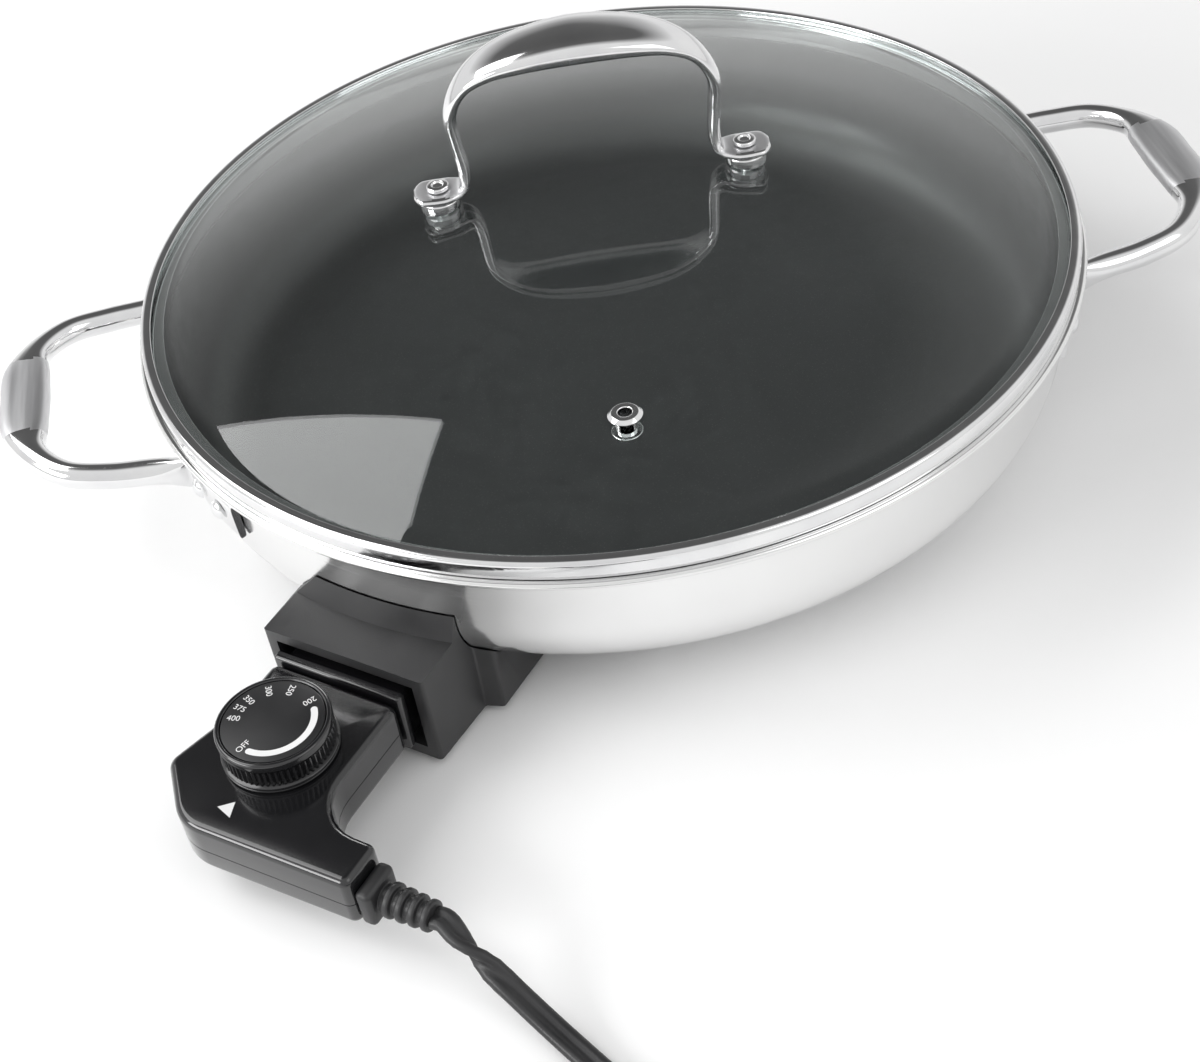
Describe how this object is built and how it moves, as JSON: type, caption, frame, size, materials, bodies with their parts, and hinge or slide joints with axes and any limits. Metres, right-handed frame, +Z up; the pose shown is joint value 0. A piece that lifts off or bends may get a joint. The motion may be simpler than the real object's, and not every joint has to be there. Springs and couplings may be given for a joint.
{
  "type": "electric griddle",
  "caption": "Round electric griddle: shallow steel pan on an under-mounted element, domed glass lid with an arched handle, two side loops and a pull-out heat control with a dial and cord.",
  "frame": {"origin": "on the floor under the middle of the griddle's outline, the cord left out", "axes": "+X towards the right side handle, +Y away from the heat control, +Z up"},
  "size_m": [0.4134, 0.5252, 0.1522],
  "materials": {
    "pan_steel": "satin stainless steel",
    "nonstick": "dark non-stick coating",
    "cast_aluminium": "cast aluminium",
    "element_sheath": "dark oxidised sheath",
    "polished_steel": "polished stainless steel",
    "brushed_steel": "brushed steel",
    "matte_phenolic": "matte black moulded phenolic",
    "gloss_black": "semi-gloss black plastic",
    "pale_print": "pale grey pointer",
    "black_rubber": "soft black rubber",
    "tempered_glass": "clear tempered glass",
    "ceramic": "unglazed white ceramic",
    "contact_brass": "spring brass",
    "plug_brass": "bright brass"
  },
  "bodies": {
    "pan": {"pan_shell": "pan_steel", "pan_lining": "nonstick", "heat_plate": "cast_aluminium", "heating_element": "element_sheath", "terminal_pin_left": "polished_steel", "terminal_pin_right": "polished_steel", "sensor_guide": "brushed_steel", "front_bracket": "matte_phenolic", "rear_bracket": "matte_phenolic", "front_screw_left": "brushed_steel", "front_screw_right": "brushed_steel", "rear_screw_left": "brushed_steel", "rear_screw_right": "brushed_steel", "front_foot_left": "black_rubber", "front_foot_right": "black_rubber", "rear_foot_left": "black_rubber", "rear_foot_right": "black_rubber", "side_handle_left": "polished_steel", "side_handle_right": "polished_steel", "rivet_left_1": "polished_steel", "rivet_left_2": "polished_steel", "rivet_left_3": "polished_steel", "rivet_left_4": "polished_steel", "rivet_right_1": "polished_steel", "rivet_right_2": "polished_steel", "rivet_right_3": "polished_steel", "rivet_right_4": "polished_steel"},
    "lid": {"lid_ring": "polished_steel", "lid_glass": "tempered_glass", "vent_grommet": "polished_steel", "lid_handle": "polished_steel", "lid_spacer_left": "polished_steel", "lid_spacer_right": "polished_steel", "lid_screw_left": "polished_steel", "lid_screw_right": "polished_steel", "lid_nut_left": "brushed_steel", "lid_nut_right": "brushed_steel"},
    "control": {"control_cover": "gloss_black", "control_base": "gloss_black", "control_nose": "gloss_black", "control_pointer": "pale_print", "control_screw_1": "brushed_steel", "control_screw_2": "brushed_steel", "socket_left": "polished_steel", "socket_right": "polished_steel", "probe": "polished_steel", "thermostat_block": "ceramic", "contact_arm": "contact_brass", "strain_relief": "black_rubber", "cord_lead": "black_rubber", "cord_coil": "black_rubber", "cord_tie": "black_rubber", "cord_tail": "black_rubber", "plug_body": "black_rubber", "plug_blade_left": "plug_brass", "plug_blade_right": "plug_brass"},
    "dial": {"dial": "gloss_black", "dial_face": "matte_phenolic", "dial_screw": "brushed_steel"}
  },
  "joints": [
    {"name": "lid_lift", "type": "slide", "parent": "pan", "child": "lid", "axis": [0, 0, 1], "range_m": [0, 0.16]},
    {"name": "control_pull", "type": "slide", "parent": "pan", "child": "control", "axis": [-0.6428, -0.766, 0], "range_m": [0, 0.11]},
    {"name": "dial_turn", "type": "hinge", "parent": "control", "child": "dial", "pos_m": [-0.12856, -0.12235, 0.036], "axis": [0, 0, -1], "range_deg": [0, 295]}
  ]
}
